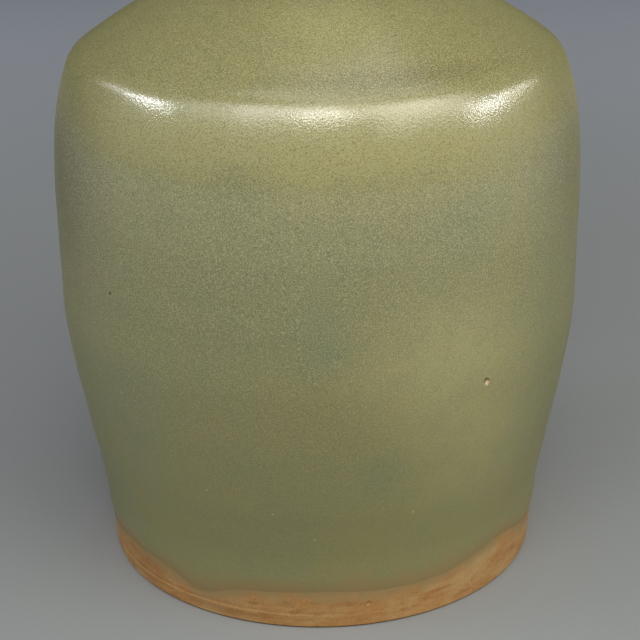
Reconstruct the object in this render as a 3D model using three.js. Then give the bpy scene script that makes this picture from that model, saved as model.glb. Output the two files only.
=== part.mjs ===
// A stoneware bottle of mallet form with a celadon glaze. A thrown body with a turned foot carries a neck
// that is luted on with slip. A coat of glaze covers the clay outside and inside, down to a bare band at the
// foot. It stands on z = 0 with its axis on z. Sizes are in millimetres and angles in degrees. Every piece is
// turned about the axis from an outline of (radius, height) points. Wall and neck sizes are of the glaze.
import * as THREE from 'three';

// Foot
const footRadius = 77.5;
const footRingWidth = 10;
const footBevelWidth = 0.5;
const footBevelHeight = 0.8;
const recessDepth = 4;
const recessSlope = 1.5;
const floorThickness = 8;
const floorCornerRadius = 12;

// Wall, from a straight skirt at the foot, out to the belly and in again to the corner of the shoulder
const skirtLean = 4.2;
const skirtAboveGlazeLine = 10.2;
const bellyRadius = 90;
const bellyHeight = 97.2;
const upperWallHeight = 83.4;
const shoulderDrawIn = 8.1;
const upperWallLean = 23.1;
const wallThickness = 6.5;

// Shoulder, which starts at its arris and rises in a low dome to the root of the neck
const shoulderSlope = 34.9;
const arrisRadius = 14;
const domeRadius = 220;
const throatRadius = 3;
const smallestRounding = 2;

// Neck and lip
const boreRadius = 21.5;
const neckRootWall = 7.8;
const neckWaistWall = 5.8;
const rootFilletRadius = 12;
const shaftHeight = 59;
const flareHeight = 44;
const lipOverhang = 17.5;
const lipLean = 35;
const lipEdgeRadius = 2.6;

// Seam of slip between the body's collar and the neck
const collarRise = 5.5;
const slipThickness = 1.2;

// Glaze, whose lower edge wanders up and down the skirt in swells, and its hair's breadth of room to the clay
const glazeThickness = 0.6;
const coatClearance = 0.05;
const glazeLineHeight = 13.8;
const glazeWander = 5;
const glazeSwells = [
  { at: -32, share: -1, spread: 8 },
  { at: 0, share: 0.2, spread: 10 },
  { at: 50, share: 1, spread: 13 },
  { at: 105, share: -0.4, spread: 15 },
  { at: 150, share: 0.5, spread: 18 },
  { at: -170, share: -0.4, spread: 14 },
  { at: -120, share: 0.4, spread: 20 },
];

// How far each curve keeps its end's direction, as a share of its height
const lowerWallPull = { start: 0.13, end: 0.3 };
const upperWallPull = { start: 0.48, end: 0.24 };
const shaftPull = { start: 0.4, end: 0.4 };
const flarePull = { start: 0.5, end: 0.3 };

// Facets round the axis, and steps along each stretch of the outline
const facets = 48;
const lowerWallSteps = 5;
const upperWallSteps = 4;
const arrisSteps = 3;
const domeSteps = 3;
const cornerSteps = 3;
const ceilingSteps = 2;
const throatSteps = 2;
const filletSteps = 2;
const shaftSteps = 2;
const flareSteps = 4;
const lipSteps = 4;
const lipInnerSteps = 1;

// Sizes that follow from the ones above
const skirtHeight = glazeLineHeight + skirtAboveGlazeLine;
const cornerRadius = bellyRadius - shoulderDrawIn;
const cornerHeight = bellyHeight + upperWallHeight;
const liningDepth = glazeThickness + wallThickness + glazeThickness;
const neckRootRadius = boreRadius + glazeThickness + neckRootWall + glazeThickness;
const neckWaistRadius = boreRadius + glazeThickness + neckWaistWall + glazeThickness;
const floorHeight = recessDepth + floorThickness + glazeThickness;

const up = point(0, 1);

function point(radius, height) {
  return new THREE.Vector2(radius, height);
}

function radians(angle) {
  return THREE.MathUtils.degToRad(angle);
}

// The unit direction at an angle in radians above the horizontal
function direction(angle) {
  return point(Math.cos(angle), Math.sin(angle));
}

function arc(centre, radius, startAngle, endAngle, steps) {
  const points = [];
  for (let step = 0; step <= steps; step += 1) {
    const angle = THREE.MathUtils.lerp(startAngle, endAngle, step / steps);
    points.push(direction(angle).multiplyScalar(radius).add(centre));
  }
  return points;
}

// A curve that rises from start to end, leaves and arrives in the given directions, and keeps each by a pull
function sweep(start, startDirection, end, endDirection, pull, steps) {
  const rise = end.y - start.y;
  const leave = start.clone().addScaledVector(startDirection, pull.start * rise);
  const arrive = end.clone().addScaledVector(endDirection, -pull.end * rise);
  return new THREE.CubicBezierCurve(start, leave, arrive, end).getPoints(steps);
}

// The skirt at a height, at a depth below the glazed surface
function skirtPoint(height, depth) {
  const lean = radians(skirtLean);
  return point(footRadius + height * Math.tan(lean) - depth / Math.cos(lean), height);
}

function glazeLine(angle) {
  let height = glazeLineHeight;
  for (const swell of glazeSwells) {
    const away = THREE.MathUtils.euclideanModulo(angle - swell.at + 180, 360) - 180;
    height += glazeWander * swell.share * Math.exp(-((away / swell.spread) ** 2));
  }
  return height;
}

// A point of an outline that wanders with the glaze line as the outline is turned
function glazeLinePoint(depth, rise) {
  const onLine = skirtPoint(glazeLineHeight + rise, depth);
  onLine.wander = (angle) => skirtPoint(glazeLine(angle) + rise, depth);
  return onLine;
}

function lowerWall(start, depth) {
  const lean = direction(radians(90 - skirtLean));
  return sweep(start, lean, point(bellyRadius - depth, bellyHeight), up, lowerWallPull, lowerWallSteps);
}

function upperWall(end, depth) {
  const lean = direction(radians(90 + upperWallLean));
  return sweep(point(bellyRadius - depth, bellyHeight), up, end, lean, upperWallPull, upperWallSteps);
}

// The arris rounds the corner where the leaning wall would meet the sloping shoulder
function arris(depth) {
  const wallNormal = direction(radians(upperWallLean));
  const shoulderNormal = direction(radians(90 - shoulderSlope));
  const outward = wallNormal.clone().add(shoulderNormal).divideScalar(1 + wallNormal.dot(shoulderNormal));
  const radius = Math.max(arrisRadius - depth, smallestRounding);
  const centre = point(cornerRadius, cornerHeight).addScaledVector(outward, -depth - radius);
  return arc(centre, radius, wallNormal.angle(), shoulderNormal.angle(), arrisSteps);
}

// The circle that the shoulder's dome follows from the end of the arris
function domeCircle(arrisEnd, depth) {
  const radius = domeRadius - depth;
  const normal = direction(radians(90 - shoulderSlope));
  return { centre: arrisEnd.clone().addScaledVector(normal, -radius), radius };
}

// The centre of an arc at this radius from the axis that touches the dome's circle from above
function centreAboveDome(dome, arcRadius, centreRadius) {
  const reach = dome.radius + arcRadius;
  const run = centreRadius - dome.centre.x;
  return point(centreRadius, dome.centre.y + Math.sqrt(reach * reach - run * run));
}

function domeArc(dome, aboveCentre, steps) {
  const startAngle = radians(90 - shoulderSlope);
  const endAngle = aboveCentre.clone().sub(dome.centre).angle();
  return arc(dome.centre, dome.radius, startAngle, endAngle, steps);
}

// The hollow between shoulder and neck, as its circle with the dome's arc that leads into it
function rootHollow(depth) {
  const dome = domeCircle(arris(depth).at(-1), depth);
  const radius = rootFilletRadius + depth;
  const centre = centreAboveDome(dome, radius, neckRootRadius + rootFilletRadius);
  const shoulder = domeArc(dome, centre, domeSteps);
  return { centre, radius, shoulder };
}

// The neck's seat is level, at the same height for every skin that crosses it
const seatHeight = rootHollow(glazeThickness).shoulder.at(-1).y + collarRise;
const neckBaseHeight = seatHeight + slipThickness;

// The angle of the hollow's circle at a height, on its side towards the axis
function hollowAngle(hollow, height) {
  return -Math.PI + Math.asin((hollow.centre.y - height) / hollow.radius);
}

function hollowPoint(hollow, height) {
  return direction(hollowAngle(hollow, height)).multiplyScalar(hollow.radius).add(hollow.centre);
}

const waistHeight = rootHollow(0).centre.y + shaftHeight;
const lipCentre = point(
  neckWaistRadius + lipOverhang - lipEdgeRadius,
  waistHeight + flareHeight - lipEdgeRadius,
);

// One side of the flare, from the waist to the rounded edge of the lip
function flare(waistRadius, lipStart) {
  const lean = direction(radians(lipLean));
  return sweep(point(waistRadius, waistHeight), up, lipStart, lean, flarePull, flareSteps);
}

// The outside at a depth below the glazed surface. The body's part runs from the top of the skirt to the
// seat, and the neck's from its base to the crest of the lip.
function outerSkin(depth) {
  const edge = arris(depth);
  const hollow = rootHollow(depth);
  const hollowStart = hollow.shoulder.at(-1).clone().sub(hollow.centre).angle() - 2 * Math.PI;
  const hollowEnd = hollowAngle(hollow, seatHeight);
  const root = point(neckRootRadius - depth, hollow.centre.y);
  const waist = point(neckWaistRadius - depth, waistHeight);
  const lip = arc(lipCentre, lipEdgeRadius - depth, radians(lipLean - 90), radians(90), lipSteps);
  return {
    body: [
      ...lowerWall(skirtPoint(skirtHeight, depth), depth),
      ...upperWall(edge[0], depth).slice(1),
      ...edge.slice(1),
      ...hollow.shoulder.slice(1),
      ...arc(hollow.centre, hollow.radius, hollowStart, hollowEnd, filletSteps).slice(1),
    ],
    neck: [
      hollowPoint(hollow, neckBaseHeight),
      ...sweep(root, up, waist, up, shaftPull, shaftSteps),
      ...flare(waist.x, lip[0]).slice(1),
      ...lip.slice(1),
    ],
  };
}

// The rounded corner between the floor and the wall
function floorCorner(depth, wallDepth) {
  const lean = radians(skirtLean);
  const radius = floorCornerRadius + depth;
  const centreHeight = floorHeight - depth + radius;
  const wallStart = skirtPoint(centreHeight - radius * Math.sin(lean), wallDepth);
  const centre = point(wallStart.x - radius * Math.cos(lean), centreHeight);
  return arc(centre, radius, radians(-90), -lean, cornerSteps);
}

// The inside at a depth below the glazed surface. The body's part runs from the middle of the floor to the
// seat, and the neck's from its base to the crest of the lip.
function innerSkin(depth) {
  const wallDepth = liningDepth - depth;
  const corner = floorCorner(depth, wallDepth);
  const edge = arris(wallDepth);
  const dome = domeCircle(edge.at(-1), wallDepth);
  const bore = boreRadius + depth;
  const rounding = throatRadius - depth + glazeThickness;
  const throatCentre = centreAboveDome(dome, rounding, bore + rounding);
  const ceiling = domeArc(dome, throatCentre, ceilingSteps);
  const throatStart = ceiling.at(-1).clone().sub(throatCentre).angle();
  const lip = arc(lipCentre, lipEdgeRadius - depth, radians(lipLean + 90), radians(90), lipInnerSteps);
  return {
    body: [
      point(0, floorHeight - depth),
      ...corner,
      ...lowerWall(corner.at(-1), wallDepth).slice(1),
      ...upperWall(edge[0], wallDepth).slice(1),
      ...edge.slice(1),
      ...ceiling.slice(1),
      ...arc(throatCentre, rounding, throatStart, Math.PI, throatSteps).slice(1),
      point(bore, seatHeight),
    ],
    neck: [
      point(bore, neckBaseHeight),
      ...flare(bore, lip[0]),
      ...lip.slice(1),
    ],
  };
}

// Turns an outline about the axis. Angle 0 faces the front, at -y, and angles grow towards +x.
function turn(outline) {
  const geometry = new THREE.LatheGeometry(outline, facets);
  geometry.rotateX(Math.PI / 2);
  const positions = geometry.getAttribute('position');
  outline.forEach((mark, index) => {
    if (!mark.wander) {
      return;
    }
    for (let facet = 0; facet <= facets; facet += 1) {
      const angle = (360 * (facet % facets)) / facets;
      const moved = mark.wander(angle);
      const sine = Math.sin(radians(angle));
      const cosine = Math.cos(radians(angle));
      positions.setXYZ(facet * outline.length + index, moved.x * sine, -moved.x * cosine, moved.y);
    }
  });
  return geometry;
}

function closed(outline) {
  return [...outline, outline[0]];
}

function reversed(outline) {
  return [...outline].reverse();
}

const coatBack = glazeThickness - coatClearance;
const clayOutside = outerSkin(glazeThickness);
const clayInside = innerSkin(glazeThickness);

// Foot ring, floor, wall, shoulder and the collar with the neck's seat
function bodyGeometry() {
  const footEdge = skirtPoint(0, glazeThickness).x - footBevelWidth;
  const ringInside = footEdge - footRingWidth;
  return turn([
    point(0, recessDepth),
    point(ringInside - recessSlope, recessDepth),
    point(ringInside, 0),
    point(footEdge, 0),
    skirtPoint(footBevelHeight, glazeThickness),
    ...clayOutside.body,
    ...reversed(clayInside.body),
  ]);
}

function neckGeometry() {
  return turn(closed([...clayOutside.neck, ...reversed(clayInside.neck).slice(1)]));
}

// The seam fills the gap between the collar's seat and the neck's base, flush with both
function slipGeometry() {
  return turn(closed([
    clayOutside.body.at(-1),
    clayOutside.neck[0],
    clayInside.neck[0],
    clayInside.body.at(-1),
  ]));
}

// The coat outside, from the glaze line to the crest of the lip
function outerGlazeGeometry() {
  const face = outerSkin(0);
  const back = outerSkin(coatBack);
  return turn(closed([
    glazeLinePoint(0, glazeThickness),
    ...face.body,
    ...face.neck,
    ...reversed(back.neck),
    ...reversed(back.body),
    glazeLinePoint(coatBack, 0),
  ]));
}

// The coat inside, from the crest of the lip to the middle of the floor
function innerGlazeGeometry() {
  const face = innerSkin(0);
  const back = innerSkin(coatBack);
  return turn([
    ...back.body,
    ...back.neck,
    ...reversed(face.neck),
    ...reversed(face.body),
  ]);
}

function stonewareMaterial() {
  return new THREE.MeshStandardMaterial({ color: 0xa9774a, roughness: 0.85, metalness: 0 });
}

function slipMaterial() {
  return new THREE.MeshStandardMaterial({ color: 0xb08c66, roughness: 0.9, metalness: 0 });
}

function celadonMaterial() {
  return new THREE.MeshStandardMaterial({ color: 0x8a8a5f, roughness: 0.4, metalness: 0 });
}

function liningMaterial() {
  return new THREE.MeshStandardMaterial({ color: 0x7f8260, roughness: 0.45, metalness: 0 });
}

function piece(name, geometry, material) {
  const mesh = new THREE.Mesh(geometry, material);
  mesh.name = name;
  return mesh;
}

const vase = new THREE.Group();
vase.add(
  piece('body', bodyGeometry(), stonewareMaterial()),
  piece('neck', neckGeometry(), stonewareMaterial()),
  piece('luting_slip', slipGeometry(), slipMaterial()),
  piece('outer_glaze', outerGlazeGeometry(), celadonMaterial()),
  piece('inner_glaze', innerGlazeGeometry(), liningMaterial()),
);

export default vase;
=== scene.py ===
import math

import bpy
import numpy as np
from mathutils import Matrix, Vector


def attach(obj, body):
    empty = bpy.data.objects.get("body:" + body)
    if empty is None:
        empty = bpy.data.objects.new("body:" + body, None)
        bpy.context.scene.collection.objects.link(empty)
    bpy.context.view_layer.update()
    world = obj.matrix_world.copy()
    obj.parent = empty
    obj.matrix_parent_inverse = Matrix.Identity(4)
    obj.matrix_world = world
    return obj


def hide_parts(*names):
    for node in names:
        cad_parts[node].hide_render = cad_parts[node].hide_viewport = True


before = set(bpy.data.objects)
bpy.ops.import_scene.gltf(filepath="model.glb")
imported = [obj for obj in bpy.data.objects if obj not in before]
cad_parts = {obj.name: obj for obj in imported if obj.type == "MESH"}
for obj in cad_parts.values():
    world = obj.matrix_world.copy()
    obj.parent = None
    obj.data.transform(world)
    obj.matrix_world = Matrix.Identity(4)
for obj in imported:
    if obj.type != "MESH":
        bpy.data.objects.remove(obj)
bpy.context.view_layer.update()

# A celadon bottle of mallet form on a pale floor, under soft strips and panels of light. Lengths are in
# metres and angles in degrees. Every piece made here is turned about the z axis from an outline of
# (radius, height) points. Angle 0 faces the front, at -y, and angles grow towards +x.

# Outline of the glazed surface, with the CAD's sizes
FOOT_RADIUS = 0.0775
FOOT_RING_WIDTH = 0.010
FOOT_BEVEL_WIDTH = 0.0005
FOOT_BEVEL_HEIGHT = 0.0008
FOOT_EDGE_ROUNDING = 0.0004
RECESS_DEPTH = 0.004
RECESS_SLOPE = 0.0015
RECESS_ROUNDING = 0.001
FLOOR_THICKNESS = 0.008
FLOOR_CORNER_RADIUS = 0.012
SKIRT_LEAN = 4.2
SKIRT_HEIGHT = 0.024
BELLY_RADIUS = 0.090
BELLY_HEIGHT = 0.0972
UPPER_WALL_HEIGHT = 0.0834
SHOULDER_DRAW_IN = 0.0081
UPPER_WALL_LEAN = 23.1
WALL_THICKNESS = 0.0065
SHOULDER_SLOPE = 34.9
ARRIS_RADIUS = 0.014
DOME_RADIUS = 0.220
THROAT_RADIUS = 0.003
SMALLEST_ROUNDING = 0.002
BORE_RADIUS = 0.0215
NECK_ROOT_WALL = 0.0078
NECK_WAIST_WALL = 0.0058
ROOT_FILLET_RADIUS = 0.012
SHAFT_HEIGHT = 0.059
FLARE_HEIGHT = 0.044
LIP_OVERHANG = 0.0175
LIP_LEAN = 35
LIP_EDGE_RADIUS = 0.0026
COLLAR_RISE = 0.0055
GLAZE_THICKNESS = 0.0006
COAT_CLEARANCE = 0.00005
LOWER_WALL_PULL = (0.13, 0.3)
UPPER_WALL_PULL = (0.48, 0.24)
SHAFT_PULL = (0.4, 0.4)
FLARE_PULL = (0.5, 0.3)

# Lower edge of the glaze, which wanders in swells of (angle, share of the wander, spread)
GLAZE_LINE_HEIGHT = 0.0138
GLAZE_WANDER = 0.005
GLAZE_SWELLS = (
    (-32, -1, 8), (0, 0.2, 10), (50, 1, 13), (105, -0.4, 15),
    (150, 0.5, 18), (-170, -0.4, 14), (-120, 0.4, 20),
)
GLAZE_EDGE_THICKNESS = 0.00006
GLAZE_EDGE_FADE = 0.006

# Slow waves that the potter's hands leave in the wall: (times round, height of one wave, phase, depth)
THROWING_WAVES = (
    (1, 0.021, 0.3, 0.00004), (-2, 0.058, 2.1, 0.00006),
    (3, 0.095, 4.4, 0.00005), (1, 0.011, 1.2, 0.00002),
)
# Ridges, above 0, and grooves that the trimming tool leaves round the foot: (height, half width, size)
TRIMMING_LINES = (
    (0.0031, 0.00030, -0.00008), (0.0047, 0.00035, 0.00010),
    (0.0056, 0.00045, -0.00014), (0.0079, 0.00030, -0.00004),
)
TRIMMING_WANDER = 0.0004
TRIMMING_WANDER_PHASE = 0.8
DEEPEST_TRIMMING = -60
TRIMMING_NARROWNESS = 3
TURNING_RING_SPACING = 0.0023
TURNING_RING_DEPTH = 0.00007

# Pits in the surface: (angle, height, radius, depth, height of the rim), with the rim's place in radii
GLAZE_PITS = ((35.9, 0.0869, 0.0011, 0.00045, 0.00010),)
CLAY_PITS = ((11.1, 0.0090, 0.0008, 0.00035, 0.00008), (40.5, 0.0063, 0.0006, 0.00025, 0.00005))
PIT_RIM_PLACE = 1.35
PIT_RIM_WIDTH = 0.4

# How finely the surfaces are divided
COLUMN_STEP = 1.25
CLOSEST_COLUMNS = COLUMN_STEP / 20
SKIRT_ROWS = 16
LEAST_ARC_STEPS = 6
ROW_SPACING = 0.0017
ROW_TURN = 5.0
HIDDEN_ROW_SPACING = 0.008
HIDDEN_ROW_TURN = 9.0
FINE_SPACING = 0.00026
FINE_REACH = 0.0024
FINE_CLAY_HEIGHTS = (0.002, 0.0055, 0.009)
DRAWN_SPACING = 0.00005
CREASE = 40

# Sizes and places that follow from the ones above
UP = np.array([0.0, 1.0])
COAT_BACK = GLAZE_THICKNESS - COAT_CLEARANCE
CORNER = np.array([BELLY_RADIUS - SHOULDER_DRAW_IN, BELLY_HEIGHT + UPPER_WALL_HEIGHT])
LINING_DEPTH = 2 * GLAZE_THICKNESS + WALL_THICKNESS
NECK_ROOT_RADIUS = BORE_RADIUS + NECK_ROOT_WALL + 2 * GLAZE_THICKNESS
NECK_WAIST_RADIUS = BORE_RADIUS + NECK_WAIST_WALL + 2 * GLAZE_THICKNESS
FLOOR_HEIGHT = RECESS_DEPTH + FLOOR_THICKNESS + GLAZE_THICKNESS


def point(radius, height):
    return np.array([radius, height], float)


def direction(angle):
    return np.array([math.cos(math.radians(angle)), math.sin(math.radians(angle))])


def angle_of(vector):
    return math.degrees(math.atan2(vector[1], vector[0]))


def line(start, end):
    steps = max(2, int(np.linalg.norm(end - start) / DRAWN_SPACING))
    return start + np.linspace(0, 1, steps)[:, None] * (end - start)


def arc(centre, radius, start, end):
    steps = max(LEAST_ARC_STEPS, int(radius * math.radians(abs(end - start)) / DRAWN_SPACING))
    turn = np.radians(np.linspace(start, end, steps))
    return centre + radius * np.stack([np.cos(turn), np.sin(turn)], axis=1)


def sweep(start, start_direction, end, end_direction, pull):
    """A curve that rises from start to end, and leaves and arrives in the given directions."""
    rise = end[1] - start[1]
    leave = start + pull[0] * rise * start_direction
    arrive = end - pull[1] * rise * end_direction
    t = np.linspace(0, 1, int(rise / DRAWN_SPACING))[:, None]
    return (1 - t) ** 3 * start + 3 * (1 - t) ** 2 * t * leave + 3 * (1 - t) * t ** 2 * arrive + t ** 3 * end


def joined(*stretches):
    """One outline from stretches that each start where the last one ends."""
    return np.vstack([stretches[0]] + [stretch[1:] for stretch in stretches[1:]])


def rounded(corners, radii):
    """Straight lines through the corners, with an arc of its own radius at each inner one."""
    stretches = []
    start = corners[0]
    for before, corner, after, radius in zip(corners, corners[1:], corners[2:], radii):
        way_in = (corner - before) / np.linalg.norm(corner - before)
        way_out = (after - corner) / np.linalg.norm(after - corner)
        bend = math.radians(angle_between(way_in, way_out))
        cut = radius * math.tan(abs(bend) / 2)
        side = np.array([-way_in[1], way_in[0]]) * math.copysign(1, bend)
        centre = corner - cut * way_in + radius * side
        first = angle_of(-side)
        stretches.append(line(start, corner - cut * way_in))
        stretches.append(arc(centre, radius, first, first + math.degrees(bend)))
        start = corner + cut * way_out
    stretches.append(line(start, corners[-1]))
    return joined(*stretches)


def angle_between(first, second):
    """The turn from one direction to the other, counterclockwise where it is above 0."""
    return angle_of([first @ second, first[0] * second[1] - first[1] * second[0]])


def skirt_radius(height, depth):
    lean = math.radians(SKIRT_LEAN)
    return FOOT_RADIUS + height * math.tan(lean) - depth / math.cos(lean)


FOOT_EDGE = skirt_radius(0, GLAZE_THICKNESS) - FOOT_BEVEL_WIDTH


def glaze_line(angle):
    height = np.full_like(angle, GLAZE_LINE_HEIGHT)
    for at, share, spread in GLAZE_SWELLS:
        away = (angle - at + 180) % 360 - 180
        height = height + GLAZE_WANDER * share * np.exp(-((away / spread) ** 2))
    return height


def lower_wall(start, depth):
    belly = point(BELLY_RADIUS - depth, BELLY_HEIGHT)
    return sweep(start, direction(90 - SKIRT_LEAN), belly, UP, LOWER_WALL_PULL)


def upper_wall(end, depth):
    belly = point(BELLY_RADIUS - depth, BELLY_HEIGHT)
    return sweep(belly, UP, end, direction(90 + UPPER_WALL_LEAN), UPPER_WALL_PULL)


def arris(depth):
    """The rounding between the leaning wall and the sloping shoulder."""
    wall_normal = direction(UPPER_WALL_LEAN)
    shoulder_normal = direction(90 - SHOULDER_SLOPE)
    outward = (wall_normal + shoulder_normal) / (1 + wall_normal @ shoulder_normal)
    radius = max(ARRIS_RADIUS - depth, SMALLEST_ROUNDING)
    return arc(CORNER - (depth + radius) * outward, radius, UPPER_WALL_LEAN, 90 - SHOULDER_SLOPE)


def dome_centre(arris_end, depth):
    return arris_end - (DOME_RADIUS - depth) * direction(90 - SHOULDER_SLOPE)


def centre_above_dome(centre, depth, arc_radius, centre_radius):
    """The centre of an arc that touches the dome from above."""
    reach = DOME_RADIUS - depth + arc_radius
    run = centre_radius - centre[0]
    return point(centre_radius, centre[1] + math.sqrt(reach ** 2 - run ** 2))


def dome(centre, depth, touching):
    return arc(centre, DOME_RADIUS - depth, 90 - SHOULDER_SLOPE, angle_of(touching - centre))


def root_hollow(depth):
    """The hollow between shoulder and neck, with the shoulder's dome that leads into it."""
    centre = dome_centre(arris(depth)[-1], depth)
    radius = ROOT_FILLET_RADIUS + depth
    hollow = centre_above_dome(centre, depth, radius, NECK_ROOT_RADIUS + ROOT_FILLET_RADIUS)
    return hollow, radius, dome(centre, depth, hollow)


SEAT_HEIGHT = root_hollow(GLAZE_THICKNESS)[2][-1][1] + COLLAR_RISE
WAIST_HEIGHT = root_hollow(0)[0][1] + SHAFT_HEIGHT
LIP_CENTRE = point(
    NECK_WAIST_RADIUS + LIP_OVERHANG - LIP_EDGE_RADIUS,
    WAIST_HEIGHT + FLARE_HEIGHT - LIP_EDGE_RADIUS,
)


def flare(waist_radius, lip_start):
    return sweep(point(waist_radius, WAIST_HEIGHT), UP, lip_start, direction(LIP_LEAN), FLARE_PULL)


def outside(depth):
    """The outside at a depth below the glazed surface, from the top of the skirt to the crest of the lip."""
    edge = arris(depth)
    hollow, radius, shoulder = root_hollow(depth)
    lip = arc(LIP_CENTRE, LIP_EDGE_RADIUS - depth, LIP_LEAN - 90, 90)
    root = point(NECK_ROOT_RADIUS - depth, hollow[1])
    waist = point(NECK_WAIST_RADIUS - depth, WAIST_HEIGHT)
    return joined(
        lower_wall(point(skirt_radius(SKIRT_HEIGHT, depth), SKIRT_HEIGHT), depth),
        upper_wall(edge[0], depth),
        edge,
        shoulder,
        arc(hollow, radius, angle_of(shoulder[-1] - hollow), -180),
        sweep(root, UP, waist, UP, SHAFT_PULL),
        flare(waist[0], lip[0]),
        lip,
    )


def inside(depth):
    """The inside at a depth below the glazed surface, from the floor's middle to the crest of the lip."""
    wall_depth = LINING_DEPTH - depth
    radius = FLOOR_CORNER_RADIUS + depth
    centre_height = FLOOR_HEIGHT - depth + radius
    start_height = centre_height - radius * math.sin(math.radians(SKIRT_LEAN))
    wall_start = point(skirt_radius(start_height, wall_depth), start_height)
    centre = point(wall_start[0] - radius * math.cos(math.radians(SKIRT_LEAN)), centre_height)
    edge = arris(wall_depth)
    middle = dome_centre(edge[-1], wall_depth)
    bore = BORE_RADIUS + depth
    rounding = THROAT_RADIUS - depth + GLAZE_THICKNESS
    throat = centre_above_dome(middle, wall_depth, rounding, bore + rounding)
    ceiling = dome(middle, wall_depth, throat)
    lip = arc(LIP_CENTRE, LIP_EDGE_RADIUS - depth, LIP_LEAN + 90, 90)
    return joined(
        line(point(0, FLOOR_HEIGHT - depth), point(centre[0], FLOOR_HEIGHT - depth)),
        arc(centre, radius, -90, -SKIRT_LEAN),
        lower_wall(wall_start, wall_depth),
        upper_wall(edge[0], wall_depth),
        edge,
        ceiling,
        arc(throat, rounding, angle_of(ceiling[-1] - throat), -180),
        line(point(bore, throat[1]), point(bore, WAIST_HEIGHT)),
        flare(bore, lip[0]),
        lip,
    )


def rows(outline, spacing, turn, fine_heights=()):
    """Picks points of a finely drawn outline: closer together where it turns and near the fine heights."""
    steps = np.diff(outline, axis=0)
    lengths = np.linalg.norm(steps, axis=1)
    heading = np.unwrap(np.arctan2(steps[:, 1], steps[:, 0]))
    bends = np.degrees(np.abs(np.diff(heading, prepend=heading[0])))
    effort = lengths / spacing + bends / turn
    for height in fine_heights:
        near = np.abs(outline[1:, 1] - height) < FINE_REACH
        effort = effort + near * lengths / FINE_SPACING
    reached = np.concatenate([[0], np.cumsum(effort)])
    wanted = np.linspace(0, reached[-1], int(math.ceil(reached[-1])) + 1)
    return np.stack([np.interp(wanted, reached, outline[:, axis]) for axis in (0, 1)], axis=1)


def hidden_rows(outline):
    return rows(outline, HIDDEN_ROW_SPACING, HIDDEN_ROW_TURN)


def columns(pits):
    """Angles round the axis, closer together at the pits."""
    angles = [np.arange(0, 360, COLUMN_STEP)]
    reach = math.degrees(FINE_REACH / BELLY_RADIUS)
    step = math.degrees(FINE_SPACING / BELLY_RADIUS)
    for at, *_ in pits:
        angles.append(np.arange(at - reach, at + reach, step) % 360)
    angles = np.sort(np.concatenate(angles))
    gaps = np.diff(angles, append=angles[0] + 360)
    return angles[gaps > CLOSEST_COLUMNS]


def normals(outline):
    """The outward direction at each point of an outline that is followed with the outside on its right."""
    along = np.gradient(outline, axis=0)
    along = along / np.linalg.norm(along, axis=1)[:, None]
    return np.stack([along[:, 1], -along[:, 0]], axis=1)


def ring_grid(outline, angles):
    """The outline's points as (rows, columns, 2), the same at every angle."""
    return np.repeat(outline[:, None, :], len(angles), axis=1)


def pushed(grid, outline, amount):
    """The grid with each point moved outwards by its amount."""
    return grid + normals(outline)[:, None, :] * amount[:, :, None]


def pit_depth(grid, angles, pits):
    amount = np.zeros(grid.shape[:2])
    for at, height, radius, depth, rim in pits:
        across = np.radians((angles - at + 180) % 360 - 180)[None, :] * grid[:, :, 0]
        away = np.hypot(across, grid[:, :, 1] - height) / radius
        amount += rim * np.exp(-((away - PIT_RIM_PLACE) / PIT_RIM_WIDTH) ** 2)
        amount -= depth * np.exp(-away ** 4)
    return amount


def throwing_depth(grid, angles):
    turn = np.radians(angles)[None, :]
    amount = np.zeros(grid.shape[:2])
    for times, wave, phase, depth in THROWING_WAVES:
        amount += depth * np.sin(times * turn + 2 * math.pi * grid[:, :, 1] / wave + phase)
    return amount


def trimming_depth(grid, angles):
    """Lines that are strong at one side of the foot and fade away round it."""
    turn = np.radians(angles)[None, :]
    drift = TRIMMING_WANDER * np.sin(turn + TRIMMING_WANDER_PHASE)
    amount = np.zeros(grid.shape[:2])
    for height, half_width, size in TRIMMING_LINES:
        away = (grid[:, :, 1] - height - drift * height / GLAZE_LINE_HEIGHT) / half_width
        amount += size * np.exp(-away ** 2)
    side = 0.5 + 0.5 * np.cos(turn - math.radians(DEEPEST_TRIMMING))
    return amount * side ** TRIMMING_NARROWNESS


def turning_rings(grid, angles):
    """The shallow spiral that turning leaves on a level surface."""
    rings = grid[:, :, 0] / TURNING_RING_SPACING - (angles / 360)[None, :]
    return TURNING_RING_DEPTH * np.sin(2 * math.pi * rings)


def turned(name, grid, angles, loop):
    """A mesh object from a grid of (radius, height) points. A row on the axis becomes one point."""
    turn = np.radians(angles)
    radius, height = grid[:, :, 0], grid[:, :, 1]
    places = np.stack([radius * np.sin(turn), -radius * np.cos(turn), height], axis=2)
    numbers = np.zeros(grid.shape[:2], int)
    vertices = []
    for row in range(len(grid)):
        if radius[row].max() < DRAWN_SPACING:
            numbers[row] = len(vertices)
            vertices.append((0.0, 0.0, float(height[row, 0])))
        else:
            numbers[row] = np.arange(len(angles)) + len(vertices)
            vertices.extend(places[row].tolist())
    faces = []
    following = np.roll(numbers, -1, axis=1)
    for row in range(len(grid) if loop else len(grid) - 1):
        above = (row + 1) % len(grid)
        around = zip(numbers[row], following[row], following[above], numbers[above])
        faces.extend(tuple(dict.fromkeys(int(n) for n in corners)) for corners in around)
    mesh = bpy.data.meshes.new(name)
    mesh.from_pydata(vertices, [], faces)
    mesh.shade_smooth()
    mesh.set_sharp_from_angle(angle=math.radians(CREASE))
    piece = bpy.data.objects.new(name, mesh)
    bpy.context.scene.collection.objects.link(piece)
    return piece


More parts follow.
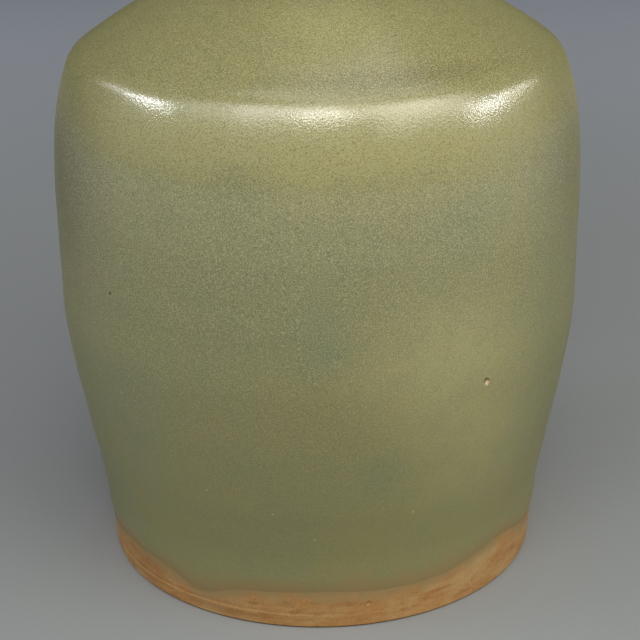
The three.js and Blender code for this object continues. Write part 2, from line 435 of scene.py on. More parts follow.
def note_glaze_height(piece):
    """Stores each point's height above the glaze line, which the materials read."""
    places = np.array([vertex.co for vertex in piece.data.vertices])
    angles = np.degrees(np.arctan2(places[:, 0], -places[:, 1])) % 360
    above = places[:, 2] - glaze_line(angles)
    attribute = piece.data.attributes.new("glaze_height", "FLOAT", "POINT")
    attribute.data.foreach_set("value", above.astype(np.float32))


def skirt_grid(heights_share, angles, depth):
    """Rows of the skirt from the wandering glaze line, at share 0, to the skirt's top, at share 1."""
    start = glaze_line(angles)[None, :]
    heights = start + heights_share[:, None] * (SKIRT_HEIGHT - start)
    depths = depth(heights - start)
    return np.stack([skirt_radius(heights, depths), heights], axis=2)


def celadon_coat():
    """The outer glaze, which thins to a feather edge at the glaze line."""
    angles = columns(GLAZE_PITS)
    face = rows(outside(0), ROW_SPACING, ROW_TURN, [pit[1] for pit in GLAZE_PITS])
    back = hidden_rows(outside(COAT_BACK))
    grid = ring_grid(face, angles)
    grid = pushed(grid, face, throwing_depth(grid, angles) + pit_depth(grid, angles, GLAZE_PITS))
    edge_depth = COAT_BACK - GLAZE_EDGE_THICKNESS
    skirt = skirt_grid(
        np.linspace(0, 1, SKIRT_ROWS)[:-1], angles,
        lambda above: edge_depth * (1 - np.minimum(above / GLAZE_EDGE_FADE, 1)) ** 2,
    )
    skirt_back = skirt_grid(np.array([1.0, 0.0]), angles, lambda above: np.full_like(above, COAT_BACK))
    fade = np.linspace(0, 1, SKIRT_ROWS - 1)[:, None] ** 2
    skirt[:, :, 0] += fade * throwing_depth(skirt, angles)
    hidden = ring_grid(back[::-1], angles)[:-1]
    return turned("celadon_coat", np.vstack([skirt, grid, hidden, skirt_back]), angles, True)


def celadon_lining():
    """The glaze inside, from the middle of the floor to the crest of the lip."""
    angles = columns(())
    back = hidden_rows(inside(COAT_BACK))
    face = rows(inside(0), 2 * ROW_SPACING, ROW_TURN)[::-1]
    grid = ring_grid(face, angles)
    level = (grid[:, :, 1] < FLOOR_HEIGHT + DRAWN_SPACING) & (grid[:, :, 0] > TURNING_RING_SPACING)
    grid[:, :, 1] += level * turning_rings(grid, angles)
    return turned("celadon_lining", np.vstack([ring_grid(back, angles), grid]), angles, False)


def clay_body():
    """Foot ring, floor, wall, shoulder and collar in bare clay, which shows below the glaze."""
    angles = columns(CLAY_PITS)
    foot = foot_outline()
    outline = rows(foot, ROW_SPACING / 2, ROW_TURN, FINE_CLAY_HEIGHTS)
    grid = ring_grid(outline, angles)
    side = outline[:, 1] > FOOT_BEVEL_HEIGHT
    amount = (trimming_depth(grid, angles) + pit_depth(grid, angles, CLAY_PITS)) * side[:, None]
    underside = outline[:, 0] < FOOT_EDGE - FOOT_EDGE_ROUNDING
    recess = underside & (outline[:, 1] > RECESS_DEPTH - DRAWN_SPACING)
    amount = amount + turning_rings(grid, angles) * recess[:, None]
    grid = pushed(grid, outline, amount)
    skin = ring_grid(below_the_seat(outside(GLAZE_THICKNESS))[1:], angles)
    lining = ring_grid(below_the_seat(inside(GLAZE_THICKNESS))[::-1], angles)
    return turned("clay_body", np.vstack([grid, skin, lining]), angles, False)


def below_the_seat(outline):
    """The part of an outline under the seat of the neck, in rows for a hidden surface."""
    return hidden_rows(outline[: np.argmax(outline[:, 1] > SEAT_HEIGHT)])


def foot_outline():
    """The recess, the foot ring, its bevel and the skirt, in bare clay."""
    ring_inside = FOOT_EDGE - FOOT_RING_WIDTH
    return rounded(
        [
            point(0, RECESS_DEPTH),
            point(ring_inside - RECESS_SLOPE, RECESS_DEPTH),
            point(ring_inside, 0),
            point(FOOT_EDGE, 0),
            point(skirt_radius(FOOT_BEVEL_HEIGHT, GLAZE_THICKNESS), FOOT_BEVEL_HEIGHT),
            point(skirt_radius(SKIRT_HEIGHT, GLAZE_THICKNESS), SKIRT_HEIGHT),
        ],
        [RECESS_ROUNDING, FOOT_EDGE_ROUNDING, FOOT_EDGE_ROUNDING, FOOT_EDGE_ROUNDING],
    )


def node(tree, kind, inputs=None, **settings):
    """A new shader node with its settings, and its inputs as values or as links from other nodes' outputs."""
    made = tree.nodes.new(kind)
    for name, value in settings.items():
        setattr(made, name, value)
    for name, value in (inputs or {}).items():
        if isinstance(value, bpy.types.NodeSocket):
            tree.links.new(value, made.inputs[name])
        else:
            made.inputs[name].default_value = value
    return made


def maths(tree, operation, *values):
    return node(tree, "ShaderNodeMath", dict(enumerate(values)), operation=operation).outputs[0]


def scaled(tree, value, factor):
    return maths(tree, "MULTIPLY", value, factor)


def mixed(tree, share, first, second):
    """The first colour, with the given share of the second."""
    return node(tree, "ShaderNodeMix", {0: share, 6: first, 7: second}, data_type="RGBA").outputs[2]


def ramp(tree, value, start, end, before=0.0, after=1.0):
    """A smooth step from one level before the start to another after the end."""
    inputs = {"Value": value, "From Min": start, "From Max": end, "To Min": before, "To Max": after}
    return node(tree, "ShaderNodeMapRange", inputs, interpolation_type="SMOOTHSTEP").outputs[0]


def noise(tree, where, size, detail=2.0, roughness=0.5, distortion=0.0):
    """Noise with features of about the given size."""
    inputs = {"Vector": where, "Scale": 1 / size}
    inputs.update({"Detail": detail, "Roughness": roughness, "Distortion": distortion})
    return node(tree, "ShaderNodeTexNoise", inputs).outputs[0]


def colour(red, green, blue):
    return (red, green, blue, 1.0)


# The glazed surface, from the table up to the crest of the lip
SURFACE = joined(
    line(point(skirt_radius(0, 0), 0), point(skirt_radius(SKIRT_HEIGHT, 0), SKIRT_HEIGHT)),
    outside(0),
)


def surface_place(angle, height):
    """The place on the glazed surface at an angle and a height."""
    radius = np.interp(height, SURFACE[:, 1], SURFACE[:, 0])
    turn = math.radians(angle)
    return (radius * math.sin(turn), -radius * math.cos(turn), height)


def spot(tree, where, angle, height, radius, softness=0.5):
    """1 inside a round spot on the surface, falling softly to 0 at its radius."""
    inputs = {0: where, 1: surface_place(angle, height)}
    away = node(tree, "ShaderNodeVectorMath", inputs, operation="DISTANCE").outputs["Value"]
    return ramp(tree, away, radius * (1 - softness), radius, before=1.0, after=0.0)


def height_of(tree, where):
    return node(tree, "ShaderNodeSeparateXYZ", {0: where}).outputs["Z"]


def start_material(name):
    material = bpy.data.materials.new(name)
    material.use_nodes = True
    tree = material.node_tree
    shader = tree.nodes["Principled BSDF"]
    where = node(tree, "ShaderNodeTexCoord").outputs["Object"]
    return material, tree, shader, where


# How far the ragged edge between glaze and clay wanders, in broad lobes and in a fine fray
LOBE_SIZE = 0.012
LOBE_REACH = 0.009
FRAY_SIZE = 0.003
FRAY_REACH = 0.003


def uneven_glaze_height(tree, where):
    """Height above the glaze line, roughened so that glaze and clay fade into each other."""
    height = node(tree, "ShaderNodeAttribute", attribute_name="glaze_height").outputs["Fac"]
    lobes = scaled(tree, noise(tree, where, LOBE_SIZE), LOBE_REACH)
    fray = scaled(tree, noise(tree, where, FRAY_SIZE, detail=3.0, roughness=0.6), FRAY_REACH)
    middle = (LOBE_REACH + FRAY_REACH) / 2
    wobble = maths(tree, "SUBTRACT", maths(tree, "ADD", lobes, fray), middle)
    return maths(tree, "ADD", height, wobble)


def patch(tree, where, angle, height, half_width, half_height):
    """1 at a place on the surface, falling softly to 0 at the edge of a long or tall patch."""
    inputs = {0: where, 1: surface_place(angle, height)}
    away = node(tree, "ShaderNodeVectorMath", inputs, operation="SUBTRACT").outputs[0]
    inputs = {0: away, 1: (half_width, half_width, half_height)}
    share = node(tree, "ShaderNodeVectorMath", inputs, operation="DIVIDE").outputs[0]
    length = node(tree, "ShaderNodeVectorMath", {0: share}, operation="LENGTH").outputs["Value"]
    return ramp(tree, length, 0.0, 1.0, before=1.0, after=0.0)


def with_patches(tree, where, base, patches, tone):
    """The base colour with patches of a tone: (angle, height, half width, half height, strength)."""
    for angle, height, half_width, half_height, strength in patches:
        share = scaled(tree, patch(tree, where, angle, height, half_width, half_height), strength)
        base = mixed(tree, share, base, tone)
    return base


# Bluish clouds in the glaze: (angle, height, radius, strength)
GLAZE_CLOUDS = (
    (-15.7, 0.158, 0.016, 0.55), (29.6, 0.141, 0.020, 0.45), (-1.8, 0.1124, 0.014, 0.35),
    (1.1, 0.1036, 0.010, 0.6), (12.6, 0.0588, 0.013, 0.5), (-40, 0.086, 0.022, 0.3),
    (118, 0.135, 0.020, 0.5), (-128, 0.095, 0.018, 0.5), (165, 0.070, 0.016, 0.4),
    (-95, 0.150, 0.016, 0.4), (82, 0.060, 0.014, 0.4), (-160, 0.150, 0.02, 0.4),
    (-70, 0.130, 0.045, 0.15), (-48, 0.055, 0.030, 0.25),
)
# Paler patches in the glaze: (angle, height, half its width, half its height, strength). Those on the front
# are painted light, a pool from the lamps in front; those round the sides and back match them.
PALE_PATCHES_AND_PAINTED_LIGHT = (
    (4, 0.163, 0.085, 0.022, 0.85), (28, 0.098, 0.050, 0.040, 0.85), (36, 0.066, 0.040, 0.040, 0.5),
    (16, 0.196, 0.035, 0.010, 0.3), (34, 0.150, 0.030, 0.030, 0.25),
    (95, 0.105, 0.030, 0.030, 0.4), (150, 0.155, 0.030, 0.040, 0.4), (-150, 0.060, 0.030, 0.030, 0.35),
    (-100, 0.110, 0.030, 0.025, 0.4),
)
# Deeper patches in the glaze: (angle, height, half its width, half its height, strength). Most are painted
# shade: at the left and right edges as seen from the front, a painted gap in the reflection just above the
# arris, and shade towards the neck; one lies at the back.
DEEP_PATCHES_AND_PAINTED_SHADE = (
    (-68, 0.146, 0.046, 0.050, 0.9), (66, 0.152, 0.036, 0.045, 0.55), (140, 0.080, 0.035, 0.040, 0.3),
    (17, 0.1840, 0.055, 0.0045, 0.5), (0, 0.2035, 0.060, 0.0060, 0.4),
)
# Pale grains and pinholes: (angle, height, radius)
PALE_SPECKS = (
    (-46.6, 0.0799, 0.0008), (-39.3, 0.1909, 0.0009), (69.7, 0.1829, 0.0009), (39.4, 0.1865, 0.0007),
    (69.8, 0.0567, 0.0009), (-10.9, 0.0459, 0.0007), (-1.7, 0.036, 0.0006), (-26.0, 0.0517, 0.0007),
    (20.8, 0.0436, 0.0008), (132, 0.092, 0.0008), (-142, 0.124, 0.0008), (171, 0.048, 0.0007),
    (103, 0.164, 0.0007), (-108, 0.063, 0.0008),
)
DARK_SPECKS = ((-46.9, 0.1143, 0.0007), (152, 0.118, 0.0007), (-82, 0.101, 0.0006))

OLIVE = colour(0.238, 0.228, 0.102)
BLUE_GREEN = colour(0.190, 0.222, 0.125)
WARM_OLIVE = colour(0.275, 0.238, 0.095)
PALE_OLIVE = colour(0.385, 0.362, 0.162)
ARRIS_OLIVE_AND_GLOW = colour(0.440, 0.412, 0.200)
DEEP_OLIVE_AND_SHADE = colour(0.135, 0.122, 0.050)
DARK_GRAIN = colour(0.110, 0.105, 0.035)
LIGHT_GRAIN = colour(0.430, 0.415, 0.210)
THIN_GLAZE = colour(0.300, 0.218, 0.096)
PALE_CLAY = colour(0.520, 0.340, 0.175)
PALE_CHIP = colour(0.75, 0.48, 0.30)
# The next colour is for dark specks, and also for the painted shadow in a pit and the painted contact shadow
# on the foot's lowest edge
DARK_SPECK_AND_SHADE = colour(0.080, 0.060, 0.030)
TOASTED_CLAY = colour(0.425, 0.216, 0.068)
RUST = colour(0.330, 0.140, 0.036)
BROWN = colour(0.170, 0.095, 0.036)
TAN = colour(0.500, 0.330, 0.150)

# Marks in the bare clay, each laid over the ones before, as patches with a tone at the end
CLAY_MARKS = (
    (37, 0.0088, 0.0160, 0.0060, 0.7, TAN), (30, 0.0083, 0.0100, 0.0011, 0.9, RUST),
    (51.9, 0.0074, 0.0050, 0.0008, 0.6, BROWN), (-33.3, 0.0087, 0.0050, 0.0016, 0.7, BROWN),
    (-17.4, 0.0083, 0.0035, 0.0012, 0.6, BROWN), (44, 0.0146, 0.0150, 0.0050, 0.9, TAN),
    (58, 0.0105, 0.0060, 0.0020, 0.6, TAN), (27, 0.0102, 0.0060, 0.0020, 0.7, TAN),
    (-57, 0.0031, 0.0260, 0.0005, 0.6, BROWN), (-57, 0.0057, 0.0320, 0.0006, 0.6, BROWN),
    (-25, 0.0030, 0.0220, 0.0022, 0.4, BROWN), (5, 0.0100, 0.0260, 0.0024, 0.35, RUST),
    (-48, 0.0105, 0.0180, 0.0060, 0.5, RUST), (4, 0.0047, 0.0200, 0.0004, 0.5, TAN),
    (16, 0.0135, 0.0060, 0.0016, 0.5, TAN), (92, 0.0080, 0.0110, 0.0009, 0.7, RUST),
    (128, 0.0120, 0.0150, 0.0035, 0.6, TAN), (171, 0.0088, 0.0040, 0.0010, 0.7, BROWN),
    (-138, 0.0095, 0.0220, 0.0025, 0.4, RUST), (-100, 0.0072, 0.0090, 0.0008, 0.6, BROWN),
)


# Sizes of the patches that noise makes in the glaze
DRIFT_SIZE = 0.055
MOTTLE_SIZE = 0.009
GRAIN_SIZE = 0.0004
PEEL_SIZE = 0.00055
DIMPLE_SIZE = 0.0045
SHEEN_PATCH_SIZE = 0.012

# Levels of that noise between which a tone comes in, and how strong the tone gets
DRIFT_LEVELS = (0.36, 0.66)
PLAIN_OLIVE_SHARE = 0.75
MOTTLE_LEVELS = (0.35, 0.75)
MOTTLE_STRENGTH = 0.25
DARK_GRAIN_LEVELS = (0.55, 0.25)
DARK_GRAIN_STRENGTH = 0.38
LIGHT_GRAIN_LEVELS = (0.48, 0.72)
LIGHT_GRAIN_STRENGTH = 0.60

# Heights between which the glaze pales, its grain grows stronger and its orange peel sets in
PALING_HEIGHTS = (0.105, 0.175)
PALING_STRENGTH = 0.5
GRAIN_HEIGHTS = (0.02, 0.19)
GRAIN_GROWTH = (0.30, 1.6)
PEEL_HEIGHTS = (0.02, 0.15)
LEAST_PEEL = 0.4

# The pale band under the arris, partly the paler thin glaze and partly a painted glow of the arris
# highlights: its height, and how far from there it starts and ends to fade
GLOW_BAND_HEIGHT = CORNER[1] - 0.0125
GLOW_BAND_FADE = (0.002, 0.015)
GLOW_BAND_STRENGTH = 0.7


def celadon_colour(tree, where):
    """Olive that drifts between blue-green and warm and pales upwards, with clouds and a fine grain. The pale
    patches on the front are painted light, the band under the arris is partly a painted glow of its
    highlights, and most deeper patches are painted shade.
    """
    height = height_of(tree, where)
    drift = noise(tree, where, DRIFT_SIZE, detail=3.0, roughness=0.55, distortion=0.4)
    base = mixed(tree, ramp(tree, drift, *DRIFT_LEVELS), BLUE_GREEN, WARM_OLIVE)
    base = mixed(tree, PLAIN_OLIVE_SHARE, base, OLIVE)
    base = mixed(tree, ramp(tree, height, *PALING_HEIGHTS, after=PALING_STRENGTH), base, PALE_OLIVE)
    # Pale patches: painted light on the front, matching pale patches round the back
    base = with_patches(tree, where, base, PALE_PATCHES_AND_PAINTED_LIGHT, PALE_OLIVE)
    mottle = noise(tree, where, MOTTLE_SIZE, detail=3.0, roughness=0.6)
    base = mixed(tree, ramp(tree, mottle, *MOTTLE_LEVELS, after=MOTTLE_STRENGTH), base, BLUE_GREEN)
    for angle, at, radius, strength in GLAZE_CLOUDS:
        cloud = spot(tree, where, angle, at, radius, softness=1.0)
        base = mixed(tree, scaled(tree, cloud, strength), base, BLUE_GREEN)
    # A pale band under the arris, partly thin glaze and partly a painted glow of the arris highlights
    from_glow_band = maths(tree, "ABSOLUTE", maths(tree, "SUBTRACT", height, GLOW_BAND_HEIGHT))
    glow_band = ramp(tree, from_glow_band, *GLOW_BAND_FADE, before=GLOW_BAND_STRENGTH, after=0.0)
    base = mixed(tree, glow_band, base, ARRIS_OLIVE_AND_GLOW)
    # Deeper patches, mostly painted shade at the edges, above the arris and towards the neck
    base = with_patches(tree, where, base, DEEP_PATCHES_AND_PAINTED_SHADE, DEEP_OLIVE_AND_SHADE)
    return with_grain(tree, where, height, base)


def with_grain(tree, where, height, base):
    """The base colour with fine dark and pale grains, which are stronger higher up."""
    grain = noise(tree, where, GRAIN_SIZE, detail=1.0)
    growth = ramp(tree, height, *GRAIN_HEIGHTS, *GRAIN_GROWTH)
    dark = maths(tree, "MULTIPLY", ramp(tree, grain, *DARK_GRAIN_LEVELS), growth)
    light = maths(tree, "MULTIPLY", ramp(tree, grain, *LIGHT_GRAIN_LEVELS), growth)
    base = mixed(tree, scaled(tree, dark, DARK_GRAIN_STRENGTH), base, DARK_GRAIN)
    return mixed(tree, scaled(tree, light, LIGHT_GRAIN_STRENGTH), base, LIGHT_GRAIN)


# How soft and strong the specks are, and the painted shadow and the bare chip at a pit: (turn and rise from
# it, radius)
SPECK_SOFTNESS = 0.8
SPECK_STRENGTH = 0.7
PIT_PAINTED_SHADOW = (-0.35, 0.0008, 0.0013)
PIT_PAINTED_SHADOW_STRENGTH = 0.7
PIT_CHIP = (0.1, -0.0003, 0.0009)
PIT_CHIP_SOFTNESS = 0.3


def celadon_specks(tree, where, base):
    """The base colour with single specks and the colours of the open pits: a painted shadow on one side, and
    the bare chip.
    """
    for angle, height, radius in PALE_SPECKS:
        speck = spot(tree, where, angle, height, radius, SPECK_SOFTNESS)
        base = mixed(tree, scaled(tree, speck, SPECK_STRENGTH), base, PALE_CLAY)
    for angle, height, radius in DARK_SPECKS:
        base = mixed(tree, spot(tree, where, angle, height, radius), base, DARK_SPECK_AND_SHADE)
    for angle, height, *_ in GLAZE_PITS:
        # A painted shadow on the upper left side of the pit
        turn, rise, radius = PIT_PAINTED_SHADOW
        painted_shadow = spot(tree, where, angle + turn, height + rise, radius)
        base = mixed(tree, scaled(tree, painted_shadow, PIT_PAINTED_SHADOW_STRENGTH), base, DARK_SPECK_AND_SHADE)
        turn, rise, radius = PIT_CHIP
        chip = spot(tree, where, angle + turn, height + rise, radius, PIT_CHIP_SOFTNESS)
        base = mixed(tree, chip, base, PALE_CHIP)
    return base


# Depth of the glaze's relief, and how strong its broad dimples are beside the fine peel
PEEL_DEPTH = 0.00006
DIMPLE_SHARE = 0.4


def celadon_bump(tree, where):
    """The satin glaze's fine orange peel, which breaks up its reflections, on broader soft dimples."""
    peel = noise(tree, where, PEEL_SIZE, detail=1.0)
    dimples = noise(tree, where, DIMPLE_SIZE)
    strength = ramp(tree, height_of(tree, where), *PEEL_HEIGHTS, before=LEAST_PEEL)
    peel = maths(tree, "MULTIPLY", peel, strength)
    lumps = maths(tree, "ADD", peel, scaled(tree, dimples, DIMPLE_SHARE))
    inputs = {"Strength": 1.0, "Distance": PEEL_DEPTH, "Height": lumps}
    return node(tree, "ShaderNodeBump", inputs).outputs[0]


# Heights above the glaze line over which the thin glaze, the dry edge and the gloss change
THIN_GLAZE_HEIGHTS = (-0.0010, 0.0085)
DRY_EDGE_HEIGHTS = (0.0, 0.004)
DRY_EDGE_ROUGHNESS = 0.3
GLOSS_HEIGHTS = (0.0, 0.13)
GLOSS_WEIGHTS = (0.12, 0.62)
# The gloss weakens where the surface turns away, between these amounts of turn
GLOSS_TURNS = (0.5, 0.85)
GLOSS_AT_THE_EDGE = 0.2
SMOOTH_LEVELS = (0.3, 0.7)
SATIN_ROUGHNESS = (0.38, 0.44)
LINING_PATCH_SIZE = 0.010
LINING_ROUGHNESS = (0.36, 0.48)
# Where the glaze runs thin at the crest of the lip, above the lip's centre
LIP_FADE = (0.0016, 0.0026)
LIP_THINNESS = 0.7


def celadon_material():
    material, tree, shader, where = start_material("celadon_glaze")
    base = celadon_colour(tree, where)
    above = uneven_glaze_height(tree, where)
    base = mixed(tree, ramp(tree, above, *THIN_GLAZE_HEIGHTS, before=1.0, after=0.0), base, THIN_GLAZE)
    above_lip = maths(tree, "SUBTRACT", height_of(tree, where), LIP_CENTRE[1])
    base = mixed(tree, ramp(tree, above_lip, *LIP_FADE, after=LIP_THINNESS), base, THIN_GLAZE)
    base = celadon_specks(tree, where, base)
    tree.links.new(base, shader.inputs["Base Color"])
    sheen_patches = noise(tree, where, SHEEN_PATCH_SIZE, detail=3.0, roughness=0.6)
    rough = ramp(tree, sheen_patches, *SMOOTH_LEVELS, *SATIN_ROUGHNESS)
    dry_edge = ramp(tree, above, *DRY_EDGE_HEIGHTS, before=DRY_EDGE_ROUGHNESS, after=0.0)
    tree.links.new(maths(tree, "ADD", rough, dry_edge), shader.inputs["Roughness"])
    bump = celadon_bump(tree, where)
    tree.links.new(bump, shader.inputs["Normal"])
    tree.links.new(bump, shader.inputs["Coat Normal"])
    gloss = ramp(tree, above, *GLOSS_HEIGHTS, *GLOSS_WEIGHTS)
    facing = node(tree, "ShaderNodeLayerWeight", {"Blend": 0.5}).outputs["Facing"]
    facing = ramp(tree, facing, *GLOSS_TURNS, before=1.0, after=GLOSS_AT_THE_EDGE)
    tree.links.new(maths(tree, "MULTIPLY", gloss, facing), shader.inputs["Coat Weight"])
    shader.inputs["Specular IOR Level"].default_value = 0.25
    shader.inputs["Coat Roughness"].default_value = 0.17
    shader.inputs["Coat IOR"].default_value = 2.05
    return material


def lining_material():
    material, tree, shader, where = start_material("lining_glaze")
    tree.links.new(celadon_colour(tree, where), shader.inputs["Base Color"])
    sheen_patches = noise(tree, where, LINING_PATCH_SIZE)
    rough = ramp(tree, sheen_patches, *SMOOTH_LEVELS, *LINING_ROUGHNESS)
    tree.links.new(rough, shader.inputs["Roughness"])
    tree.links.new(celadon_bump(tree, where), shader.inputs["Normal"])
    return material


# Sizes of the patches that noise makes in the clay. The streaks are squeezed in height.
CLAY_CLOUD_SIZE = 0.012
STREAK_SIZE = 0.007
STREAK_SQUEEZE = 2.6
SAND_SIZE = 0.0006
SLIP_CLOUD_SIZE = 0.004

# Levels of that noise between which a tone comes in, and how strong the tone gets
CLOUD_LEVELS = (0.40, 0.75)
CLOUD_STRENGTH = 0.7
RUST_LEVELS = (0.48, 0.70)
RUST_STRENGTH = 0.75
TAN_LEVELS = (0.46, 0.28)
TAN_STRENGTH = 0.6
DARK_SAND_LEVELS = (0.54, 0.72)
PALE_SAND_LEVELS = (0.46, 0.30)
SAND_STRENGTH = 0.45

# Heights from the glaze line over which a film of glaze comes in, and heights over which the foot's lowest
# edge is darkened as painted contact shadow
GLAZE_FILM_HEIGHTS = (-0.0055, 0.0008)
CONTACT_SHADOW_HEIGHTS = (0.0, 0.0011)
CONTACT_SHADOW_STRENGTH = 0.9

# The pale chip in a pit, which lies a little below its middle, and the clay's dull relief
CLAY_CHIP_DROP = 0.0002
CLAY_CHIP_RADIUS = 0.0009
CLAY_ROUGHNESS = (0.62, 0.8)
STREAK_RELIEF = 1.5
CLAY_RELIEF = 0.0001


def clay_colour(tree, where, cloud, streaks, sand):
    """Toasted orange clay with tan clouds, rust streaks, single marks and sand, fading into the glaze, and
    darkened at its lowest edge as painted contact shadow.
    """
    base = mixed(tree, ramp(tree, cloud, *CLOUD_LEVELS, after=CLOUD_STRENGTH), TOASTED_CLAY, TAN)
    base = mixed(tree, ramp(tree, streaks, *RUST_LEVELS, after=RUST_STRENGTH), base, RUST)
    base = mixed(tree, ramp(tree, streaks, *TAN_LEVELS, after=TAN_STRENGTH), base, TAN)
    for *mark, tone in CLAY_MARKS:
        base = with_patches(tree, where, base, [mark], tone)
    base = mixed(tree, ramp(tree, sand, *DARK_SAND_LEVELS, after=SAND_STRENGTH), base, BROWN)
    base = mixed(tree, ramp(tree, sand, *PALE_SAND_LEVELS, after=SAND_STRENGTH), base, PALE_CLAY)
    film = ramp(tree, uneven_glaze_height(tree, where), *GLAZE_FILM_HEIGHTS)
    base = mixed(tree, film, base, THIN_GLAZE)
    for angle, height, *_ in CLAY_PITS:
        chip = spot(tree, where, angle, height - CLAY_CHIP_DROP, CLAY_CHIP_RADIUS)
        base = mixed(tree, chip, base, PALE_CHIP)
    # Painted contact shadow along the foot's lowest edge
    contact_shadow = ramp(tree, height_of(tree, where), *CONTACT_SHADOW_HEIGHTS, before=CONTACT_SHADOW_STRENGTH, after=0.0)
    return mixed(tree, contact_shadow, base, DARK_SPECK_AND_SHADE)


def clay_material():
    material, tree, shader, where = start_material("toasted_clay")
    cloud = noise(tree, where, CLAY_CLOUD_SIZE, detail=4.0, roughness=0.6)
    squeezed = node(tree, "ShaderNodeMapping", {"Vector": where, "Scale": (1.0, 1.0, STREAK_SQUEEZE)})
    streaks = noise(tree, squeezed.outputs[0], STREAK_SIZE, detail=4.0, roughness=0.6)
    sand = noise(tree, where, SAND_SIZE, roughness=0.7)
    tree.links.new(clay_colour(tree, where, cloud, streaks, sand), shader.inputs["Base Color"])
    rough = ramp(tree, cloud, *SMOOTH_LEVELS, *CLAY_ROUGHNESS)
    tree.links.new(rough, shader.inputs["Roughness"])
    lumps = maths(tree, "ADD", sand, scaled(tree, streaks, STREAK_RELIEF))
    bump = node(tree, "ShaderNodeBump", {"Strength": 0.6, "Distance": CLAY_RELIEF, "Height": lumps})
    tree.links.new(bump.outputs[0], shader.inputs["Normal"])
    return material


def slip_material():
    material, tree, shader, where = start_material("fired_slip")
    cloud = noise(tree, where, SLIP_CLOUD_SIZE, detail=3.0, roughness=0.6)
    tree.links.new(mixed(tree, cloud, TAN, PALE_CLAY), shader.inputs["Base Color"])
    bump = node(tree, "ShaderNodeBump", {"Strength": 0.5, "Distance": CLAY_RELIEF, "Height": cloud})
    tree.links.new(bump.outputs[0], shader.inputs["Normal"])
    shader.inputs["Roughness"].default_value = 0.85
    return material


def dress(piece, material, replaced=None):
    """Gives a piece its material, and puts it on the body in place of the CAD's own node."""
    piece.data.materials.clear()
    piece.data.materials.append(material)
    if replaced:
        note_glaze_height(piece)
        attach(piece, "root")
        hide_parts(replaced)


FLOOR_SIZE = 8.0
FLOOR_NEAR = colour(0.315, 0.332, 0.350)
FLOOR_FAR_PAINTED_LIGHT = colour(0.645, 0.705, 0.835)
FLOOR_BOUNCE = colour(0.28, 0.285, 0.27)
# Distances from the vase between which the floor turns from the near colour to the far one, which is painted
# light that makes up for the lamps' falloff
FLOOR_FADE = (0.25, 1.3)


def floor_material():
    """Pale paper that grows paler away from the vase, as painted light against the lamps' falloff. The light
    that it throws back is dimmer.
    """
    material, tree, shader, where = start_material("floor_paper")
    away = node(tree, "ShaderNodeVectorMath", {0: where}, operation="LENGTH").outputs["Value"]
    seen_colour = mixed(tree, ramp(tree, away, *FLOOR_FADE), FLOOR_NEAR, FLOOR_FAR_PAINTED_LIGHT)
    path = node(tree, "ShaderNodeLightPath")
    seen = maths(tree, "MAXIMUM", path.outputs["Is Camera Ray"], path.outputs["Is Glossy Ray"])
    seen = maths(tree, "MAXIMUM", seen, path.outputs["Is Transmission Ray"])
    tree.links.new(mixed(tree, seen, FLOOR_BOUNCE, seen_colour), shader.inputs["Base Color"])
    shader.inputs["Roughness"].default_value = 0.8
    return material


def floor():
    half = FLOOR_SIZE / 2
    corners = [(-half, -half, 0), (half, -half, 0), (half, half, 0), (-half, half, 0)]
    mesh = bpy.data.meshes.new("floor")
    mesh.from_pydata(corners, [], [(0, 1, 2, 3)])
    piece = bpy.data.objects.new("floor", mesh)
    bpy.context.scene.collection.objects.link(piece)
    piece.data.materials.append(floor_material())


# The lamps stand at one distance from the point that they all look at
AIM = Vector((0, 0, 0.13))
LAMP_DISTANCE = 1.6


def softbox(name, size, azimuth, elevation, power, tint):
    """A soft rectangular lamp at an azimuth, counted from the front towards +x, and an elevation."""
    turn, rise = math.radians(azimuth), math.radians(elevation)
    way = Vector((math.sin(turn) * math.cos(rise), -math.cos(turn) * math.cos(rise), math.sin(rise)))
    lamp = bpy.data.lights.new(name, "AREA")
    lamp.shape = "RECTANGLE"
    lamp.size, lamp.size_y = size
    lamp.energy = power
    lamp.color = tint
    piece = bpy.data.objects.new(name, lamp)
    piece.location = AIM + LAMP_DISTANCE * way
    piece.rotation_euler = way.to_track_quat("Z", "Y").to_euler()
    bpy.context.scene.collection.objects.link(piece)


# Widths and heights of the lamps, and their tints
SHORT_STRIP = (0.46, 0.10)
STRIP = (0.58, 0.10)
LONG_STRIP = (0.72, 0.10)
PANEL = (1.2, 0.6)
WIDE_PANEL = (1.7, 0.6)
CEILING = (1.5, 1.3)
NEUTRAL = (1.0, 1.0, 1.0)
COOL = (0.94, 0.97, 1.0)
WARM = (1.0, 0.98, 0.92)
AMBER = (1.0, 0.97, 0.86)
GOLDEN = (1.0, 0.955, 0.78)
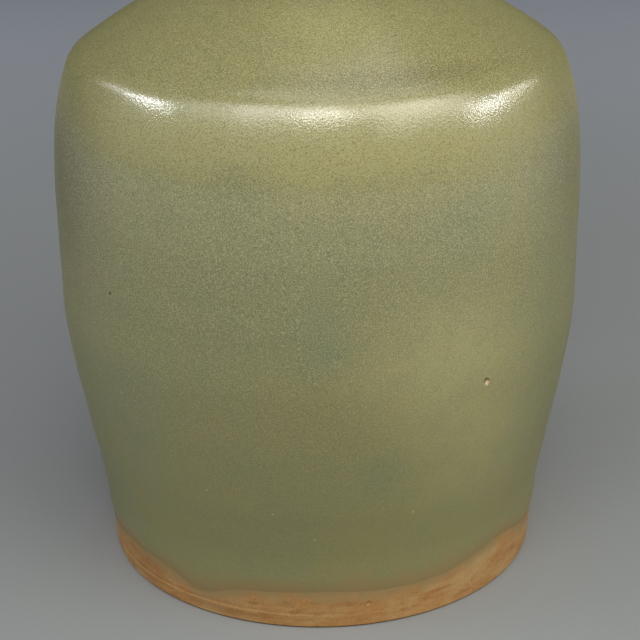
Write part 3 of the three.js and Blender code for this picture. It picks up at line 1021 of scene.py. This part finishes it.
# Soft lights: (name, size, azimuth, elevation, watts, tint). The strips' reflections lie on the arris.
LIGHTS = (
    ("left_strip", STRIP, -80.5, 24, 4.7, COOL),
    ("left_edge_strip", SHORT_STRIP, -103, 24, 0.9, NEUTRAL),
    ("middle_strip", LONG_STRIP, 4.5, 32.5, 2.7, WARM),
    ("right_strip", STRIP, 80, 17, 3.4, NEUTRAL),
    ("right_edge_strip", SHORT_STRIP, 101, 17, 1.3, AMBER),
    ("far_left_panel", PANEL, -41, 33, 3.2, NEUTRAL),
    ("left_panel", PANEL, -14, 38.5, 5.8, WARM),
    ("right_panel", WIDE_PANEL, 25, 38.5, 6.2, GOLDEN),
    ("far_right_panel", PANEL, 50, 30, 6.4, AMBER),
    ("ceiling", CEILING, 35, 76, 5.8, NEUTRAL),
)
WORLD_STRENGTH = 0.02


def lights():
    for light in LIGHTS:
        softbox(*light)
    world = bpy.data.worlds.new("room")
    world.use_nodes = True
    background = world.node_tree.nodes["Background"]
    background.inputs["Color"].default_value = colour(1.0, 1.0, 1.0)
    background.inputs["Strength"].default_value = WORLD_STRENGTH
    bpy.context.scene.world = world


# The photograph's camera, which looks along +y and down
CAMERA_PLACE = (0, -0.510, 0.281711)
CAMERA_PITCH = 21.586
CAMERA_ROLL = -0.772
CAMERA_SHIFT = 0.00074
FOCAL_PIXELS = 1521.7
PICTURE_PIXELS = 640
SENSOR_MILLIMETRES = 36.0
NEAREST_SEEN = 0.01


def camera():
    data = bpy.data.cameras.new("camera")
    data.sensor_width = SENSOR_MILLIMETRES
    data.lens = SENSOR_MILLIMETRES * FOCAL_PIXELS / PICTURE_PIXELS
    data.shift_x = CAMERA_SHIFT
    data.clip_start = NEAREST_SEEN
    piece = bpy.data.objects.new("camera", data)
    tilt = Matrix.Rotation(math.radians(90 - CAMERA_PITCH), 4, "X")
    roll = Matrix.Rotation(math.radians(CAMERA_ROLL), 4, "Z")
    piece.matrix_world = Matrix.Translation(CAMERA_PLACE) @ tilt @ roll
    bpy.context.scene.collection.objects.link(piece)
    bpy.context.scene.camera = piece


camera()
lights()
floor()
clay = clay_material()
dress(celadon_coat(), celadon_material(), "outer_glaze")
dress(celadon_lining(), lining_material(), "inner_glaze")
dress(clay_body(), clay, "body")
dress(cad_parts["neck"], clay)
dress(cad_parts["luting_slip"], slip_material())
bpy.context.scene.view_settings.view_transform = "Standard"
